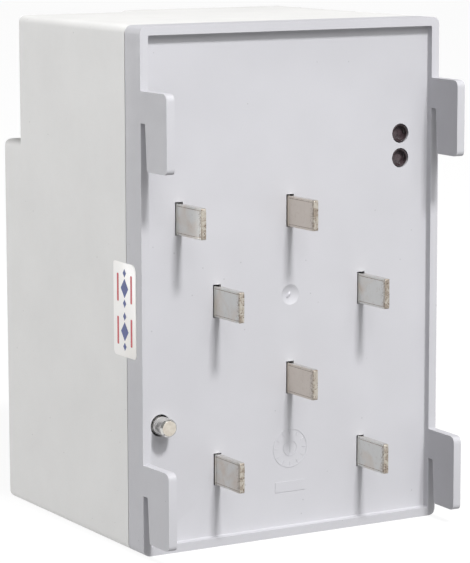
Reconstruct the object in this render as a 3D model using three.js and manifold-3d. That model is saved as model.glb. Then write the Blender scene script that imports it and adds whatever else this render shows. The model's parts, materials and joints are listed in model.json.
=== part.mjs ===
// Plug-in three-phase electricity meter, the household type that hangs on a plug-in mounting plate.
// Millimetres. +Z is up, the display faces -Y, the contact blades and the four hooks point along +Y.
// The origin is under the middle of the whole meter, on the surface that it stands on.
// Inside the file, y = 0 is the rear rim plane: the last lines move the meter to its origin.

import * as THREE from "three";
import { mergeVertices } from "three/addons/utils/BufferGeometryUtils.js";
import Module from "manifold-3d";

const wasm = await Module();
wasm.setup();

// ---- Driving dimensions -------------------------------------------------------------------------

const WIDTH = 90;
const HEIGHT = 135;
const DEPTH = 80;
const CORNER = 2.2;
const WALL = 2.2;
const EDGE = 1.6;
const GAP = 0.3;

const FRONT = -DEPTH;
const SHELF = FRONT + 10;
const SHELF_WIDTH = 36;
const SHELF_HEIGHT = 34.2;
const SEAM = -8;

const RIM = 2.3;
const FLOOR = -2;
const FLOOR_BACK = -4.5;
const FLOOR_FILLET = 0.3;
const LIP_OUT = WALL + GAP;
const LIP_IN = 4;
const LIP_END = -12.7;

const HOOK_REACH = 12.6;
const HOOK_LEAN = 0.45;
const HOOK_HEIGHT = 20;
const HOOK_NECK = 8;
const HOOK_TOPS = [24, 119];
const HOOK_SLOT_TOP = 2.2;
const HOOK_SLOT_MOUTH = 3;

const GRID = 22;
const BLADE_REACH = 10.6;
const BLADE_THICK = 1.6;
const BLADE_STOCK = 1.8;
const BLADE_HIGH = 8;
const BLADE_SLOT = { left: 0.2, right: 0.3, below: 0.2, above: 0.35, aboveLowest: 0.2 };
const BLADE_INNER = -30;
const BLADE_SHOULDER = FLOOR + 0.3;
const BAR_THICK = 2;
const BAR_BACK = -24;
const BAR_FRONT = -32;

const PIN = { x: 38.75, z: 33.3, r: 2.4, tip: 2.7, chamfer: 0.5, travel: 6 };
const PIN_HEAD = { r: 3.2, front: FRONT + 0.3, back: FRONT + 4.7 };
const POCKET = { r: 4.75, floor: FRONT + 5, wall: 1.5 };
const PIN_BORE = 2.9;

const REAR_IR = { x: -34.2, z: 101.2, pitch: 6.5, r: 2.6, rim: 0.25, deep: 1.2, dome: 0.2 };
const GATE = { z: 64, r: 2.7, deep: 0.65 };

const PORT = { x: 27, z: 117.5, lens: 6, ringIn: 7.8, ringOut: 13.2, ringDeep: 1 };
const WINDOW = { x0: -40, x1: 6, z0: 104, z1: 132, thick: 1.2 };
const VIEW = { x0: -38, x1: 4, z0: 106, z1: 130 };
const PLATE = { x0: -40, x1: 16, z0: 30, z1: 96, thick: 0.6 };
const BUTTON = { x: 26, z: 84, cap: 3.5, flange: 5, stem: 1.6, travel: 1 };
const PULSE = { x: 26, z: 94, r: 1.5 };
const LABEL = { y0: -15, y1: -3, z0: 50.6, z1: 74.8, thick: 0.2, corners: [1.3, 1.1, 2.2, 0.7] };

const BOARD_FRONT = FRONT + 18;
const BOARD_BACK = BOARD_FRONT + 1.6;
const BOARD = { x0: -40, x1: 35.5, z0: 6, z1: 130 };
const CARRIER_FRONT = -16.7;
const CARRIER_BACK = -14.5;
const PEGS = [[-34, 20], [34, 20], [-34, 115], [34, 115]];
const POSTS = [[-36, 10], [29, 10], [-36, 88], [29, 125]];

const CT = { rIn: 5.4, rOut: 10, high: 12, y: (BAR_BACK + BAR_FRONT) / 2 };

const ARC_STEPS = 6;
const EDGE_STEPS = 5;
const ROUND_STEPS = 32;

// Blade rows and columns stand on a 22 mm grid. Each phase enters and leaves 44 mm apart.
const ROW = (n) => 20 + GRID * n;
const PHASES = [
  { name: "l1", x: GRID, low: ROW(0), high: ROW(2), lean: -1 },
  { name: "l2", x: 0, low: ROW(1), high: ROW(3), lean: 1 },
  { name: "l3", x: -GRID, low: ROW(0), high: ROW(2), lean: 1 },
];
const NEUTRAL = { x: 1.5 * GRID, z: ROW(3) };
const BLADES = [
  ...PHASES.map((p) => ({ name: `contact_blade_${p.name}_upper`, x: p.x, z: p.high })),
  ...PHASES.map((p) => ({ name: `contact_blade_${p.name}_lower`, x: p.x, z: p.low })),
  { name: "contact_blade_neutral", x: NEUTRAL.x, z: NEUTRAL.z },
];

// ---- Materials ----------------------------------------------------------------------------------

const plastic = (color, roughness) => new THREE.MeshStandardMaterial({ color, roughness, metalness: 0 });
const metal = (color, roughness) => new THREE.MeshStandardMaterial({ color, roughness, metalness: 1 });
const MATERIAL = {
  housing: plastic(0xd6d6d9, 0.55),
  insert: plastic(0x6d7076, 0.6),
  black: plastic(0x1c1d1f, 0.5),
  irLens: plastic(0x2a0d12, 0.15),
  clear: new THREE.MeshStandardMaterial({ color: 0xe6ecee, roughness: 0.08, transparent: true, opacity: 0.35 }),
  glass: plastic(0x9aa593, 0.12),
  paper: plastic(0xf0eded, 0.6),
  button: plastic(0x3f6f9e, 0.45),
  board: plastic(0x1f5a3a, 0.5),
  capacitor: plastic(0xb8502a, 0.4),
  varistor: plastic(0x2d5c9a, 0.4),
  rubber: plastic(0x3a3a3d, 0.8),
  ribbon: plastic(0x8d8f96, 0.6),
  nickel: metal(0xb6b4ac, 0.35),
  copper: metal(0xb87345, 0.4),
  steel: metal(0x9a9ca0, 0.3),
};

// ---- Building blocks ----------------------------------------------------------------------------

const rootGroup = new THREE.Group();
const meter = new THREE.Group();
rootGroup.add(meter);

// A closed geometry becomes a solid that can be cut and joined.
function solid(geometry) {
  const bare = geometry.index ? geometry.toNonIndexed() : geometry.clone();
  bare.deleteAttribute("normal");
  bare.deleteAttribute("uv");
  const merged = mergeVertices(bare, 1e-4);
  const vertProperties = merged.attributes.position.array;
  const triVerts = new Uint32Array(merged.index.array);
  return new wasm.Manifold(new wasm.Mesh({ numProp: 3, vertProperties, triVerts }));
}

const join = (first, ...rest) => rest.reduce((whole, one) => whole.add(one), first);
const cut = (first, ...rest) => rest.reduce((whole, one) => whole.subtract(one), first);

function add(name, shape, material) {
  const mesh = shape.getMesh();
  const geometry = new THREE.BufferGeometry();
  geometry.setAttribute("position", new THREE.BufferAttribute(mesh.vertProperties, 3));
  geometry.setIndex(new THREE.BufferAttribute(mesh.triVerts, 1));
  geometry.computeVertexNormals();
  const node = new THREE.Mesh(geometry, MATERIAL[material]);
  node.name = name;
  meter.add(node);
}

// A polygon whose corners are rounded. Each corner is [a, b, radius].
function rounded(corners) {
  const shape = new THREE.Shape();
  corners.forEach(([a, b, radius], i) => {
    const here = new THREE.Vector2(a, b);
    const before = corners[(i + corners.length - 1) % corners.length];
    const after = corners[(i + 1) % corners.length];
    const towards = (p) => new THREE.Vector2(p[0], p[1]).sub(here).setLength(radius).add(here);
    const start = radius ? towards(before) : here;
    if (i) shape.lineTo(start.x, start.y);
    else shape.moveTo(start.x, start.y);
    if (!radius) return;
    const end = towards(after);
    shape.quadraticCurveTo(a, b, end.x, end.y);
  });
  shape.closePath();
  return shape;
}

const rectangle = (a0, b0, a1, b1, r = 0) => rounded([[a0, b0, r], [a1, b0, r], [a1, b1, r], [a0, b1, r]]);

// An outline drawn in x and z, from y = near to y = far. A bevel rounds both ends.
function prismY(outline, near, far, bevel = 0) {
  const geometry = new THREE.ExtrudeGeometry(outline, {
    depth: far - near - 2 * bevel,
    curveSegments: ARC_STEPS,
    bevelEnabled: bevel > 0,
    bevelThickness: bevel,
    bevelSize: bevel,
    bevelOffset: -bevel,
    bevelSegments: EDGE_STEPS,
  });
  geometry.rotateX(Math.PI / 2);
  geometry.translate(0, far - bevel, 0);
  return solid(geometry);
}

// An outline drawn in y and z, from x = left to x = right.
function prismX(outline, left, right) {
  const geometry = new THREE.ExtrudeGeometry(outline, {
    depth: right - left,
    curveSegments: ARC_STEPS,
    bevelEnabled: false,
  });
  geometry.rotateX(Math.PI / 2);
  geometry.rotateZ(Math.PI / 2);
  geometry.translate(left, 0, 0);
  return solid(geometry);
}

// An outline drawn in x and y, from z = low to z = high.
function prismZ(outline, low, high) {
  const geometry = new THREE.ExtrudeGeometry(outline, { depth: high - low, bevelEnabled: false });
  geometry.translate(0, 0, low);
  return solid(geometry);
}

function box(x0, x1, y0, y1, z0, z1) {
  const geometry = new THREE.BoxGeometry(x1 - x0, y1 - y0, z1 - z0);
  geometry.translate((x0 + x1) / 2, (y0 + y1) / 2, (z0 + z1) / 2);
  return solid(geometry);
}

function cylinderY(x, z, r, near, far, steps = ROUND_STEPS) {
  const geometry = new THREE.CylinderGeometry(r, r, far - near, steps);
  geometry.translate(x, (near + far) / 2, z);
  return solid(geometry);
}

// A turned piece about an axis along y. The profile is a list of [radius, y] from low y to high y.
function turnedY(x, z, profile, steps = ROUND_STEPS) {
  const geometry = new THREE.LatheGeometry(profile.map(([r, y]) => new THREE.Vector2(r, y)), steps);
  geometry.translate(x, 0, z);
  return solid(geometry);
}

// ---- Housing ------------------------------------------------------------------------------------

const halfWidth = WIDTH / 2;
const shelfX = halfWidth - SHELF_WIDTH;
const shelfZ = HEIGHT - SHELF_HEIGHT;

const outline = (inset) =>
  rectangle(-halfWidth + inset, inset, halfWidth - inset, HEIGHT - inset, Math.max(CORNER - inset, 0.4));

// The front is lower over the corner where an optical reading head docks.
function steppedOutline(inset) {
  const r = Math.max(CORNER - inset, 0.4);
  return rounded([
    [-halfWidth + inset, inset, r],
    [halfWidth - inset, inset, r],
    [halfWidth - inset, shelfZ - inset, r],
    [shelfX - inset, shelfZ - inset, r],
    [shelfX - inset, HEIGHT - inset, r],
    [-halfWidth + inset, HEIGHT - inset, r],
  ]);
}

function frontCover() {
  const end = SEAM - GAP;
  const lower = prismY(outline(0), SHELF, end + 5, EDGE);
  const raised = prismY(steppedOutline(0), FRONT, SHELF + 5, EDGE);
  const behindSeam = box(-WIDTH, WIDTH, end, end + 10, -10, HEIGHT + 10);
  const outside = cut(join(lower, raised), behindSeam);
  const deepHollow = prismY(outline(WALL), SHELF + WALL, end + 1);
  const frontHollow = prismY(steppedOutline(WALL), FRONT + WALL, SHELF + WALL + 1);
  const shell = cut(outside, deepHollow, frontHollow);
  const pocketCup = cylinderY(PIN.x, PIN.z, POCKET.r + POCKET.wall, FRONT + 1, POCKET.floor + WALL);
  const pocketWeb = box(PIN.x, halfWidth - 1, FRONT + 1, POCKET.floor + WALL, PIN.z - 3, PIN.z + 3);
  const cupped = join(shell, cut(join(pocketCup, pocketWeb), sideOutsideWall()));
  return cut(cupped, ...frontOpenings());
}

// Keeps the pocket's cup inside the outer side wall.
function sideOutsideWall() {
  return box(halfWidth - 1, halfWidth + 10, FRONT - 1, SEAM, 0, HEIGHT);
}

function frontOpenings() {
  const through = FRONT + WALL + 1;
  const before = FRONT - 1;
  const shelfBefore = SHELF - 1;
  const shelfThrough = SHELF + WALL + 1;
  const g = GAP;
  const ringGroove = cut(
    cylinderY(PORT.x, PORT.z, PORT.ringOut + g, shelfBefore, SHELF + PORT.ringDeep + g),
    cylinderY(PORT.x, PORT.z, PORT.ringIn - g, shelfBefore - 1, shelfThrough),
  );
  return [
    prismY(rectangle(VIEW.x0, VIEW.z0, VIEW.x1, VIEW.z1, 1), before, through),
    prismY(
      rectangle(WINDOW.x0 - g, WINDOW.z0 - g, WINDOW.x1 + g, WINDOW.z1 + g, 1.5),
      before,
      FRONT + WINDOW.thick + g,
    ),
    prismY(rectangle(PLATE.x0 - g, PLATE.z0 - g, PLATE.x1 + g, PLATE.z1 + g, 1), before, FRONT + PLATE.thick + g),
    cylinderY(BUTTON.x, BUTTON.z, BUTTON.cap + g, before, through),
    cylinderY(PULSE.x, PULSE.z, PULSE.r + g, before, through, 16),
    cylinderY(PORT.x, PORT.z, PORT.lens + g, shelfBefore, shelfThrough),
    ringGroove,
    cylinderY(PIN.x, PIN.z, POCKET.r, before, POCKET.floor),
    cylinderY(PIN.x, PIN.z, PIN_BORE, before, POCKET.floor + WALL + 1),
  ];
}

// A hook is a flat plate in line with the side wall, hanging from a neck at its top.
function hookOutline(top) {
  const foot = top - HOOK_HEIGHT;
  const neck = top - HOOK_NECK;
  const root = -1.5;
  return rounded([
    [root, top, 0],
    [HOOK_REACH, top, 2],
    [HOOK_REACH, foot, 1.6],
    [HOOK_SLOT_MOUTH, foot, 0.8],
    [HOOK_SLOT_TOP, neck, 0.4],
    [root, neck, 0],
  ]);
}

// From the rim plane outwards both faces of the plate lean in, by HOOK_LEAN at its tip.
function hook(side, top) {
  const tip = HOOK_REACH + 1;
  const lean = (HOOK_LEAN * tip) / HOOK_REACH;
  const inside = halfWidth - RIM;
  const deepest = inside - HOOK_LEAN;
  const foot = top - HOOK_HEIGHT - 1;
  const wedge = (points) => prismZ(rounded(points.map(([x, y]) => [side * x, y, 0])), foot, top + 1);
  const ends = [side * deepest, side * halfWidth].sort((a, b) => a - b);
  const plate = prismX(hookOutline(top), ends[0], ends[1]);
  const outer = wedge([[halfWidth, 0], [halfWidth + 1, 0], [halfWidth + 1, tip], [halfWidth - lean, tip]]);
  const inner = wedge([
    [inside, FLOOR],
    [inside, 0],
    [inside - lean, tip],
    [deepest - 1, tip],
    [deepest - 1, FLOOR],
  ]);
  return cut(plate, outer, inner);
}

function bladeSlot({ x, z }, near, far) {
  const { left, right, below, above, aboveLowest } = BLADE_SLOT;
  const top = z === ROW(0) ? aboveLowest : above;
  const half = BLADE_HIGH / 2;
  return box(x - BLADE_STOCK / 2 - left, x + BLADE_STOCK / 2 + right, near, far, z - half - below, z + half + top);
}

function rearBase() {
  const block = prismY(outline(0), SEAM, 0);
  const recess = prismY(outline(RIM), FLOOR, 1, FLOOR_FILLET);
  const hollow = prismY(outline(LIP_IN), SEAM - 1, FLOOR_BACK);
  const lip = cut(prismY(outline(LIP_OUT), LIP_END, SEAM + 1), prismY(outline(LIP_IN), LIP_END - 1, SEAM + 2));
  const hooks = HOOK_TOPS.flatMap((top) => [hook(-1, top), hook(1, top)]);
  const pegs = PEGS.map(([x, z]) =>
    turnedY(x, z, [
      [0, CARRIER_FRONT - 1.5],
      [2.4, CARRIER_FRONT - 1.1],
      [2.4, CARRIER_FRONT - GAP],
      [1.5, CARRIER_FRONT - GAP],
      [1.5, CARRIER_BACK + GAP],
      [3, CARRIER_BACK + GAP],
      [3, FLOOR_BACK + 1],
      [0, FLOOR_BACK + 1],
    ], 16),
  );
  const ribs = [-8.2, 6.6].map((z) => box(-40, -29, -12, FLOOR_BACK + 1, REAR_IR.z + z, REAR_IR.z + z + 1.6));
  const body = join(cut(block, recess, hollow), lip, ...hooks, ...pegs, ...ribs);
  return cut(
    body,
    ...BLADES.map((blade) => bladeSlot(blade, LIP_END, 1)),
    ...[-0.5, 0.5].map((side) =>
      cylinderY(REAR_IR.x, REAR_IR.z + side * REAR_IR.pitch, REAR_IR.r, FLOOR_BACK - 1, 1, 20),
    ),
    cylinderY(PIN.x, PIN.z, PIN_BORE, LIP_END, 1),
    cylinderY(0, GATE.z, GATE.r, FLOOR - GATE.deep, 1, 20),
  );
}

add("rear_base", rearBase(), "housing");
add("front_cover", frontCover(), "housing");

// ---- Front pieces -------------------------------------------------------------------------------

function rectanglePiece(name, r, thick, radius, material) {
  add(name, prismY(rectangle(r.x0, r.z0, r.x1, r.z1, radius), FRONT, FRONT + thick), material);
}

rectanglePiece("display_window", WINDOW, WINDOW.thick, 1.2, "clear");
rectanglePiece("nameplate", PLATE, PLATE.thick, 0.8, "paper");

add(
  "optical_port_ring",
  cut(
    cylinderY(PORT.x, PORT.z, PORT.ringOut, SHELF, SHELF + PORT.ringDeep, 32),
    cylinderY(PORT.x, PORT.z, PORT.ringIn, SHELF - 1, SHELF + PORT.ringDeep + 1, 32),
  ),
  "steel",
);
add(
  "front_ir_lens",
  turnedY(PORT.x, PORT.z, [
    [0, SHELF],
    [PORT.lens, SHELF],
    [PORT.lens, SHELF + WALL + GAP],
    [PORT.lens + 1.4, SHELF + WALL + GAP],
    [PORT.lens + 1.4, SHELF + WALL + 1.1],
    [0, SHELF + WALL + 1.1],
  ]),
  "irLens",
);

// An infrared emitter or receiver: a round base with a domed nose pointing the given way.
function opticalPart(name, x, z, base, nose) {
  const way = Math.sign(nose - base);
  const shoulder = nose - way * 1.6;
  const profile = [
    [0, base],
    [2.4, base],
    [2.4, shoulder],
    [1.9, shoulder + way * 1.1],
    [0, nose],
  ];
  if (way < 0) profile.reverse();
  add(name, turnedY(x, z, profile, 16), "black");
}

const portTop = SHELF + WALL + 1.6;
opticalPart("front_ir_emitter", PORT.x - 3.25, PORT.z, BOARD_FRONT - GAP, portTop);
opticalPart("front_ir_receiver", PORT.x + 3.25, PORT.z, BOARD_FRONT - GAP, portTop);

add(
  "pulse_light_guide",
  turnedY(PULSE.x, PULSE.z, [
    [0, FRONT],
    [PULSE.r, FRONT],
    [PULSE.r, FRONT + WALL + GAP],
    [PULSE.r + 1.1, FRONT + WALL + GAP],
    [PULSE.r + 1.1, FRONT + WALL + 1.1],
    [PULSE.r, FRONT + WALL + 1.1],
    [PULSE.r, BOARD_FRONT - 2],
    [0, BOARD_FRONT - 2],
  ], 16),
  "clear",
);
const onBoard = BOARD_FRONT - GAP;
add("pulse_led", box(PULSE.x - 1.6, PULSE.x + 1.6, onBoard - 1.2, onBoard, PULSE.z - 0.8, PULSE.z + 0.8), "black");

// ---- Display button -----------------------------------------------------------------------------

const buttonBack = FRONT + WALL + GAP;
const switchTop = onBoard - 2.3;
const actuatorTop = switchTop - 0.6;
add(
  "display_button",
  turnedY(BUTTON.x, BUTTON.z, [
    [0, FRONT + 0.5],
    [BUTTON.cap - 0.6, FRONT + 0.1],
    [BUTTON.cap, FRONT + 0.6],
    [BUTTON.cap, buttonBack],
    [BUTTON.flange, buttonBack],
    [BUTTON.flange, buttonBack + 1.2],
    [BUTTON.stem, buttonBack + 1.2],
    [BUTTON.stem, actuatorTop - BUTTON.travel - GAP],
    [0, actuatorTop - BUTTON.travel - GAP],
  ]),
  "button",
);
add(
  "button_switch",
  join(
    box(BUTTON.x - 3.5, BUTTON.x + 3.5, switchTop, onBoard, BUTTON.z - 3.5, BUTTON.z + 3.5),
    cylinderY(BUTTON.x, BUTTON.z, 1.3, actuatorTop, switchTop + 0.5, 12),
  ),
  "black",
);

// The return spring stands on the switch and pushes on the button's flange.
class Helix extends THREE.Curve {
  constructor(radius, from, to, turns) {
    super();
    Object.assign(this, { radius, from, to, turns });
  }

  getPoint(t, target = new THREE.Vector3()) {
    const angle = 2 * Math.PI * this.turns * t;
    const along = this.from + (this.to - this.from) * t;
    return target.set(BUTTON.x + this.radius * Math.cos(angle), along, BUTTON.z + this.radius * Math.sin(angle));
  }
}

function springSolid() {
  const wire = 0.28;
  const turns = 5;
  const path = new Helix(2.6, buttonBack + 1.2 + GAP + wire, switchTop - GAP - wire, turns);
  const section = new THREE.Shape();
  section.absarc(0, 0, wire, 0, 2 * Math.PI);
  const options = { steps: turns * 10, extrudePath: path, curveSegments: 6, bevelEnabled: false };
  return solid(new THREE.ExtrudeGeometry(section, options));
}
add("button_spring", springSolid(), "steel");

// ---- Locking pin --------------------------------------------------------------------------------

const clipFront = POCKET.floor + WALL + PIN.travel + 0.4;
const CLIP = { thick: 0.8, rIn: 2.2, rOut: 3.7, groove: 1.9 };

function lockingPin() {
  const body = turnedY(PIN.x, PIN.z, [
    [0, PIN_HEAD.front],
    [PIN_HEAD.r - 0.5, PIN_HEAD.front],
    [PIN_HEAD.r, PIN_HEAD.front + 0.5],
    [PIN_HEAD.r, PIN_HEAD.back],
    [PIN.r, PIN_HEAD.back],
    [PIN.r, clipFront - GAP],
    [CLIP.groove, clipFront - GAP],
    [CLIP.groove, clipFront + CLIP.thick + GAP],
    [PIN.r, clipFront + CLIP.thick + GAP],
    [PIN.r, PIN.tip - PIN.chamfer],
    [PIN.r - PIN.chamfer, PIN.tip],
    [0, PIN.tip],
  ]);
  const sealHole = new THREE.CylinderGeometry(0.8, 0.8, 4 * PIN_HEAD.r, 12);
  sealHole.rotateX(Math.PI / 2);
  sealHole.translate(PIN.x, (PIN_HEAD.front + PIN_HEAD.back) / 2, PIN.z);
  return cut(body, solid(sealHole));
}

function retainingClip() {
  const open = 0.6;
  const ring = new THREE.Shape();
  ring.absarc(PIN.x, PIN.z, CLIP.rOut, open, 2 * Math.PI - open, false);
  ring.absarc(PIN.x, PIN.z, CLIP.rIn, 2 * Math.PI - open, open, true);
  ring.closePath();
  const options = { depth: CLIP.thick, curveSegments: 18, bevelEnabled: false };
  const geometry = new THREE.ExtrudeGeometry(ring, options);
  geometry.rotateX(Math.PI / 2);
  geometry.translate(0, clipFront + CLIP.thick, 0);
  return solid(geometry);
}

add("locking_pin", lockingPin(), "nickel");
add("pin_retaining_clip", retainingClip(), "steel");

// ---- Seal label and rear optics -----------------------------------------------------------------

add(
  "tamper_seal_label",
  prismX(
    rounded([
      [LABEL.y0, LABEL.z0, LABEL.corners[0]],
      [LABEL.y1, LABEL.z0, LABEL.corners[1]],
      [LABEL.y1, LABEL.z1, LABEL.corners[2]],
      [LABEL.y0, LABEL.z1, LABEL.corners[3]],
    ]),
    halfWidth,
    halfWidth + LABEL.thick,
  ),
  "paper",
);

const lensFlange = FLOOR_BACK - GAP;
const rearBoard = { near: -13.9, far: -12.3 };
for (const [side, height] of [[-0.5, "lower"], [0.5, "upper"]]) {
  const z = REAR_IR.z + side * REAR_IR.pitch;
  const r = REAR_IR.r - GAP;
  const profile = [
    [0, lensFlange - 0.9],
    [3, lensFlange - 0.9],
    [3, lensFlange],
    [r, lensFlange],
    [r, FLOOR - 0.2],
    [r - REAR_IR.rim, FLOOR - 0.2],
    [r - REAR_IR.rim, FLOOR - REAR_IR.deep - REAR_IR.dome],
    [0, FLOOR - REAR_IR.deep],
  ];
  add(`rear_ir_lens_${height}`, turnedY(REAR_IR.x, z, profile, 16), "irLens");
  const name = side < 0 ? "rear_ir_receiver" : "rear_ir_emitter";
  opticalPart(name, REAR_IR.x, z, rearBoard.far + GAP, lensFlange - 1.4);
}
add(
  "rear_optical_board",
  box(REAR_IR.x - 6.2, REAR_IR.x + 7.2, rearBoard.near, rearBoard.far, REAR_IR.z - 7, REAR_IR.z + 7),
  "board",
);
const RIBBON = { x0: -37, x1: -31, z: 96, thick: 0.6 };
add(
  "optical_board_ribbon",
  box(RIBBON.x0, RIBBON.x1, BOARD_BACK + GAP, rearBoard.near - GAP, RIBBON.z, RIBBON.z + RIBBON.thick),
  "ribbon",
);

// ---- Contacts and current path ------------------------------------------------------------------

// A blade is cut from thicker stock. Its contact section, outside the base, is coined thinner and flat.
function contactBlade(x, z) {
  const half = BLADE_HIGH / 2;
  const section = rounded([
    [BLADE_INNER, z - half, 0],
    [BLADE_REACH, z - half, 0.5],
    [BLADE_REACH, z + half, 0.5],
    [BLADE_INNER, z + half, 0],
  ]);
  const shank = rectangle(BLADE_INNER, z - half, BLADE_SHOULDER, z + half);
  return join(
    prismX(section, x - BLADE_THICK / 2, x + BLADE_THICK / 2),
    prismX(shank, x - BLADE_STOCK / 2, x + BLADE_STOCK / 2),
  );
}

for (const { name, x, z } of BLADES) add(name, contactBlade(x, z), "nickel");

// A copper bar lies against the inner ends of a phase's two blades and runs through its transformer.
function currentBar(phase) {
  const half = BLADE_HIGH / 2;
  const arm = BLADE_INNER + 12;
  const shape = rounded([
    [arm, phase.low - half, 0],
    [BAR_FRONT, phase.low - half, 1.5],
    [BAR_FRONT, phase.high + half, 1.5],
    [arm, phase.high + half, 0],
    [arm, phase.high - half, 0],
    [BAR_BACK, phase.high - half, 1],
    [BAR_BACK, phase.low + half, 1],
    [arm, phase.low + half, 0],
  ]);
  const near = phase.x + phase.lean * (BLADE_STOCK / 2 + GAP);
  const far = near + phase.lean * BAR_THICK;
  return prismX(shape, Math.min(near, far), Math.max(near, far));
}

// The transformer is a potted ring about the upright part of the bar.
function transformer(x, z) {
  const half = CT.high / 2;
  const bevel = 0.8;
  const profile = [
    [CT.rIn, -half],
    [CT.rOut - bevel, -half],
    [CT.rOut, -half + bevel],
    [CT.rOut, half - bevel],
    [CT.rOut - bevel, half],
    [CT.rIn, half],
    [CT.rIn, -half],
  ];
  const geometry = new THREE.LatheGeometry(profile.map(([r, y]) => new THREE.Vector2(r, y)), ROUND_STEPS);
  geometry.rotateX(Math.PI / 2);
  geometry.translate(x, CT.y, z);
  return solid(geometry);
}

for (const phase of PHASES) {
  const middle = (phase.low + phase.high) / 2;
  const barX = phase.x + phase.lean * (BLADE_STOCK / 2 + GAP + BAR_THICK / 2);
  const tapZ = phase.high - 8;
  const leadBack = CT.y - CT.rOut - GAP;
  add(`current_bar_${phase.name}`, currentBar(phase), "copper");
  add(`current_transformer_${phase.name}`, transformer(barX, middle), "black");
  add(
    `transformer_lead_${phase.name}`,
    box(barX - 1.2, barX + 1.2, BOARD_BACK + GAP, leadBack, middle - 0.6, middle + 0.6),
    "ribbon",
  );
  add(
    `voltage_tap_${phase.name}`,
    cylinderY(barX, tapZ, 0.8, BOARD_BACK + GAP, BAR_FRONT - GAP, 10),
    "nickel",
  );
}
add(
  "voltage_tap_neutral",
  cylinderY(NEUTRAL.x, NEUTRAL.z, 0.8, BOARD_BACK + GAP, BLADE_INNER - GAP, 10),
  "nickel",
);

// ---- Inner frame --------------------------------------------------------------------------------

function contactCarrier() {
  const plate = prismY(rectangle(-39, 7, 39, 128, 2), CARRIER_FRONT, CARRIER_BACK);
  const posts = POSTS.map(([x, z]) => cylinderY(x, z, 3, BOARD_BACK + GAP, CARRIER_FRONT + 1, 16));
  const pilotHoles = POSTS.map(([x, z]) => cylinderY(x, z, 1.6, BOARD_BACK - 1, BOARD_BACK + 8, 12));
  const pegHoles = PEGS.map(([x, z]) => cylinderY(x, z, 1.8, CARRIER_FRONT - 1, CARRIER_BACK + 1, 12));
  const slots = BLADES.map((blade) => bladeSlot(blade, CARRIER_FRONT - 1, CARRIER_BACK + 1));
  const pinNotch = cylinderY(PIN.x, PIN.z, PIN.r + 1, CARRIER_FRONT - 1, CARRIER_BACK + 1, 16);
  const ribbonSlot = box(
    RIBBON.x0 - 1, RIBBON.x1 + 1, CARRIER_FRONT - 1, CARRIER_BACK + 1, RIBBON.z - 0.5, RIBBON.z + 1.1,
  );
  return cut(join(plate, ...posts), ...pilotHoles, ...pegHoles, ...slots, pinNotch, ribbonSlot);
}
add("contact_carrier", contactCarrier(), "insert");

// ---- Main board and what is on it ---------------------------------------------------------------

add(
  "main_board",
  cut(
    prismY(rectangle(BOARD.x0, BOARD.z0, BOARD.x1, BOARD.z1, 1.5), BOARD_FRONT, BOARD_BACK),
    ...POSTS.map(([x, z]) => cylinderY(x, z, 1.6, BOARD_FRONT - 1, BOARD_BACK + 1, 12)),
  ),
  "board",
);
add("metering_chip", box(-8, 2, onBoard - 1.4, onBoard, 60, 70), "black");
add("controller_chip", box(-32, -20, onBoard - 1.4, onBoard, 58, 70), "black");

const lcdTray = { x0: WINDOW.x0, x1: WINDOW.x1, z0: 104.5, z1: 131.5, top: FRONT + 3 };
const lcdGlass = { x0: -38.2, x1: 4.2, z0: 106.3, z1: 129.7, top: FRONT + 3.3, thick: 2.2 };
const lcdStep = lcdGlass.top + lcdGlass.thick + GAP;
add(
  "lcd_frame",
  cut(
    prismY(rectangle(lcdTray.x0, lcdTray.z0, lcdTray.x1, lcdTray.z1, 1), lcdTray.top, onBoard),
    box(lcdGlass.x0 - GAP, lcdGlass.x1 + GAP, lcdTray.top - 1, lcdStep, lcdGlass.z0 - GAP, lcdGlass.z1 + GAP),
    box(lcdGlass.x0 + 1.2, lcdGlass.x1 - 1.2, lcdTray.top, onBoard + 1, lcdGlass.z0 + 1, lcdGlass.z1 - 1),
  ),
  "insert",
);
add(
  "lcd_glass",
  box(lcdGlass.x0, lcdGlass.x1, lcdGlass.top, lcdGlass.top + lcdGlass.thick, lcdGlass.z0, lcdGlass.z1),
  "glass",
);
for (const [name, z] of [["lower", lcdGlass.z0 + 1.6], ["upper", lcdGlass.z1 - 4]])
  add(`lcd_contact_strip_${name}`, box(-35, 1, lcdStep, onBoard, z, z + 2.4), "rubber");

const behind = BOARD_BACK + GAP;
add("film_capacitor", prismY(rectangle(-16, 96, 10, 106, 1), behind, behind + 16), "capacitor");
add(
  "electrolytic_capacitor",
  turnedY(24, 104, [
    [0, behind],
    [5, behind],
    [5, behind + 2],
    [4.6, behind + 2.6],
    [5, behind + 3.2],
    [5, behind + 15],
    [4.5, behind + 15.6],
    [0, behind + 15.6],
  ]),
  "black",
);

// Varistors are round discs standing on the board.
function varistor(x) {
  const geometry = new THREE.CylinderGeometry(5.5, 5.5, 4, 20);
  geometry.rotateZ(Math.PI / 2);
  geometry.translate(x, behind + 6.5, 24);
  const foot = box(x - 1.2, x + 1.2, behind, behind + 4, 21.5, 26.5);
  return join(solid(geometry), foot);
}
PHASES.forEach((phase, i) => add(`varistor_${phase.name}`, varistor(-20 + 12 * i), "varistor"));

POSTS.forEach(([x, z], i) =>
  add(
    `board_screw_${i + 1}`,
    turnedY(x, z, [
      [0, onBoard - 1.8],
      [2.2, onBoard - 1.8],
      [2.5, onBoard - 1.4],
      [2.5, onBoard],
      [1.25, onBoard],
      [1.25, BOARD_BACK + 6],
      [0, BOARD_BACK + 6.8],
    ], 16),
    "steel",
  ),
);

// ---- Place --------------------------------------------------------------------------------------

meter.position.y = (DEPTH - HOOK_REACH) / 2;

export default rootGroup;
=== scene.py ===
import json
import math

import bmesh
import bpy
from mathutils import Matrix, Quaternion, Vector, noise


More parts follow.
